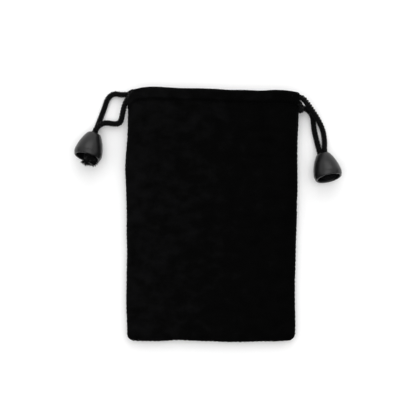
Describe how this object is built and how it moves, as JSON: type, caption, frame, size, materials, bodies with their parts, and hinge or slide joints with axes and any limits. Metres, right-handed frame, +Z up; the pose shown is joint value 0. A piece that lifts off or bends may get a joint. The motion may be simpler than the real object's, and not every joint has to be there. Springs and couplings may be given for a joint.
{
  "type": "drawstring dice bag",
  "caption": "Flat velvet pouch with a stitched casing at the mouth, closed by two braided drawstrings that pass through plastic bells and end in knots.",
  "frame": {"origin": "middle of the cloth bag, on the surface that it lies on", "axes": "+Z up from that surface, +Y towards the mouth, +X to the right when the mouth points away"},
  "size_m": [0.1606, 0.1529, 0.0172],
  "materials": {
    "velvet": "short pile velvet, matt with a faint sheen",
    "thread": "twisted polyester thread",
    "cord": "round braided cord",
    "bell_plastic": "satin moulded plastic"
  },
  "bodies": {
    "bag": {"back_panel": "velvet", "front_panel": "velvet", "bottom_seam": "thread", "casing_stitch_front": "thread", "casing_stitch_back": "thread"},
    "left_side": {"side_seam_left": "thread", "slit_tack_left": "thread"},
    "right_side": {"side_seam_right": "thread", "slit_tack_right": "thread"},
    "left_drawstring": {"drawstring_left": "cord", "knot_left": "cord"},
    "right_drawstring": {"drawstring_right": "cord", "knot_right": "cord"},
    "left_bell": {"bell_left": "bell_plastic"},
    "right_bell": {"bell_right": "bell_plastic"}
  },
  "joints": [
    {"name": "left_cord_pull", "type": "slide", "parent": "bag", "child": "left_drawstring", "axis": [-0.9987, -0.0505, 0], "range_m": [0, 0.028], "deforming": ["front_panel", "back_panel", "casing_stitch_front", "casing_stitch_back"]},
    {"name": "right_cord_pull", "type": "slide", "parent": "bag", "child": "right_drawstring", "axis": [0.9951, -0.099, 0], "range_m": [0, 0.028]},
    {"name": "left_side_gather", "type": "hinge", "parent": "bag", "child": "left_side", "pos_m": [-0.0489, -0.0735, 0.0035], "axis": [0, 0, 1], "range_deg": [-11.18, 0], "deforming": ["front_panel", "back_panel"]},
    {"name": "right_side_gather", "type": "hinge", "parent": "bag", "child": "right_side", "pos_m": [0.0489, -0.0735, 0.0035], "axis": [0, 0, 1], "range_deg": [0, 11.18]},
    {"name": "left_bell_slide", "type": "slide", "parent": "left_drawstring", "child": "left_bell", "axis": [0.2588, 0.9659, 0], "range_m": [0, 0.004], "deforming": ["drawstring_left"]},
    {"name": "right_bell_slide", "type": "slide", "parent": "right_drawstring", "child": "right_bell", "axis": [-0.2164, 0.9763, 0], "range_m": [0, 0.004], "deforming": ["drawstring_right"]}
  ],
  "couplings": [
    {"joint": "right_cord_pull", "follows": "left_cord_pull", "ratio": 1},
    {"joint": "left_side_gather", "follows": "left_cord_pull", "rad_per_m": -6.9645},
    {"joint": "right_side_gather", "follows": "left_cord_pull", "rad_per_m": 6.9645}
  ]
}
